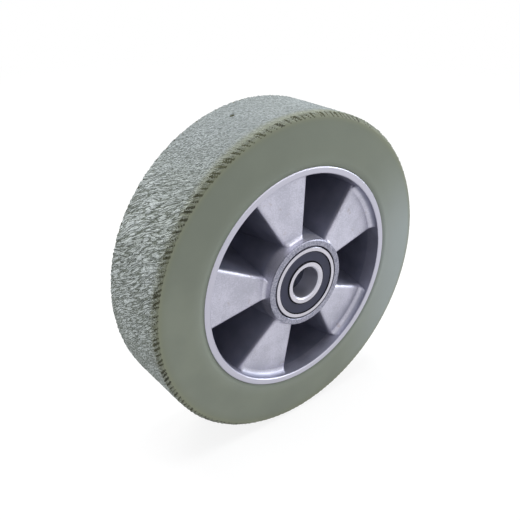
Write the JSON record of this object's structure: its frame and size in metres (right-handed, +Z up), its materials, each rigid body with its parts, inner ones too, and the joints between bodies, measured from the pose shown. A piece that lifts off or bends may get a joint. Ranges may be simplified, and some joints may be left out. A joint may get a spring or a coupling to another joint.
{
  "type": "scrubber wheel",
  "caption": "Solid-tyred wheel for floor machines: rough elastic tyre bonded on a cast centre with pockets, turning on sealed ball bearings around an axle bore.",
  "frame": {"origin": "the wheel's centre, on the axle line and midway between the hub's two ends", "axes": "+Y along the axle line, away from the pictured face; +Z up; +X to the right seen from the pictured face"},
  "size_m": [0.2, 0.06, 0.2],
  "materials": {
    "tyre_polyurethane": "rough tread, smooth satin sides",
    "cast_aluminium": "satin, blasted casting with turned faces",
    "bearing_steel": "ground and polished",
    "ball_steel": "lapped",
    "seal_rubber": "matt, moulded",
    "cage_plastic": "moulded polyamide",
    "spacer_steel": "drawn tube, dull"
  },
  "bodies": {
    "axle_sleeve": {"front_inner_ring": "bearing_steel", "rear_inner_ring": "bearing_steel", "spacer_tube": "spacer_steel"},
    "wheel": {"tyre": "tyre_polyurethane", "wheel_centre": "cast_aluminium", "front_outer_ring": "bearing_steel", "rear_outer_ring": "bearing_steel", "front_outboard_seal": "seal_rubber", "front_inboard_seal": "seal_rubber", "rear_outboard_seal": "seal_rubber", "rear_inboard_seal": "seal_rubber"},
    "front_ball_set": {"front_cage": "cage_plastic", "front_ball_1": "ball_steel", "front_ball_2": "ball_steel", "front_ball_3": "ball_steel", "front_ball_4": "ball_steel", "front_ball_5": "ball_steel", "front_ball_6": "ball_steel", "front_ball_7": "ball_steel", "front_ball_8": "ball_steel"},
    "rear_ball_set": {"rear_cage": "cage_plastic", "rear_ball_1": "ball_steel", "rear_ball_2": "ball_steel", "rear_ball_3": "ball_steel", "rear_ball_4": "ball_steel", "rear_ball_5": "ball_steel", "rear_ball_6": "ball_steel", "rear_ball_7": "ball_steel", "rear_ball_8": "ball_steel"}
  },
  "joints": [
    {"name": "wheel_spin", "type": "hinge", "parent": "axle_sleeve", "child": "wheel", "pos_m": [0, 0, 0], "axis": [0, 1, 0], "continuous": true},
    {"name": "front_ball_set_spin", "type": "hinge", "parent": "axle_sleeve", "child": "front_ball_set", "pos_m": [0, -0.023, 0], "axis": [0, 1, 0], "continuous": true},
    {"name": "rear_ball_set_spin", "type": "hinge", "parent": "axle_sleeve", "child": "rear_ball_set", "pos_m": [0, 0.023, 0], "axis": [0, 1, 0], "continuous": true}
  ],
  "couplings": [
    {"joint": "front_ball_set_spin", "follows": "wheel_spin", "ratio": 0.61848},
    {"joint": "rear_ball_set_spin", "follows": "wheel_spin", "ratio": 0.61848}
  ]
}
